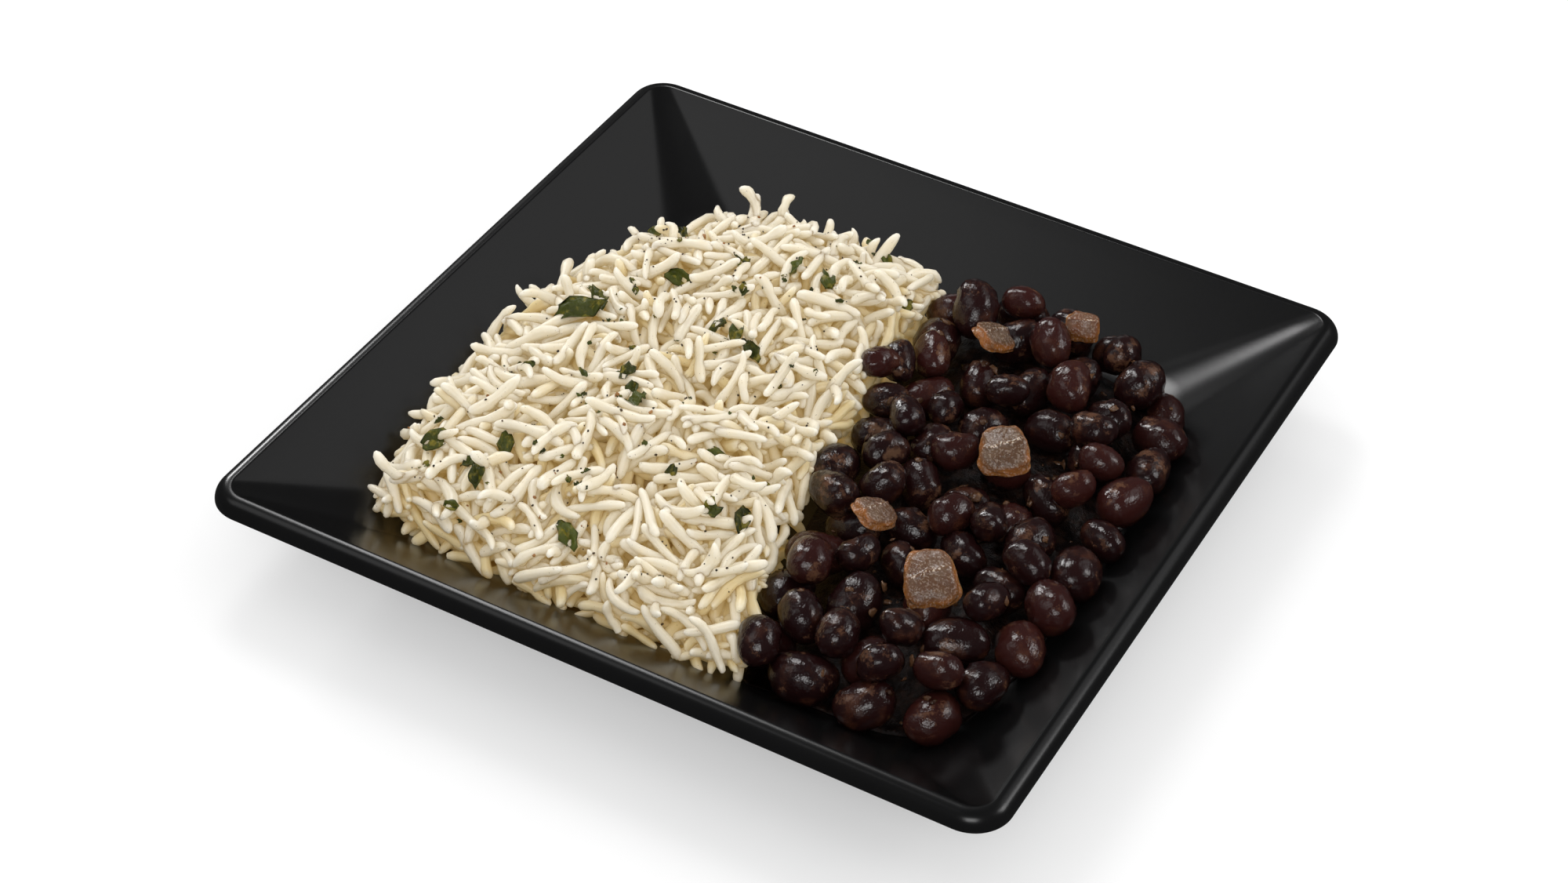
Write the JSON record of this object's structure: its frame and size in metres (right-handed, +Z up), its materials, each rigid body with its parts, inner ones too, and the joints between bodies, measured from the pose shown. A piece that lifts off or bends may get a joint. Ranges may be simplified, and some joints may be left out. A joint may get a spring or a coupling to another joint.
{
  "type": "rice and beans plate",
  "caption": "Square black plate with sloped walls and a rounded rim, holding a heap of cooked long-grain rice with herbs beside a heap of black beans with onion.",
  "frame": {"origin": "on the table under the middle of the plate", "axes": "+Z up, +X from the rice towards the beans, +Y along the border between them; the plate's sides run along X and Y"},
  "size_m": [0.18, 0.18, 0.03],
  "materials": {
    "plate_glaze": "satin black glaze",
    "cooked_rice": "moist, slightly translucent grains",
    "cooked_beans": "wet and glossy, near black maroon skins",
    "cooked_onion": "translucent amber brown, moist"
  },
  "bodies": {
    "root": {"plate": "plate_glaze", "rice": "cooked_rice", "beans": "cooked_beans", "loose_bean": "cooked_beans", "onion_1": "cooked_onion", "onion_2": "cooked_onion", "onion_3": "cooked_onion", "onion_4": "cooked_onion", "onion_5": "cooked_onion"}
  },
  "joints": []
}
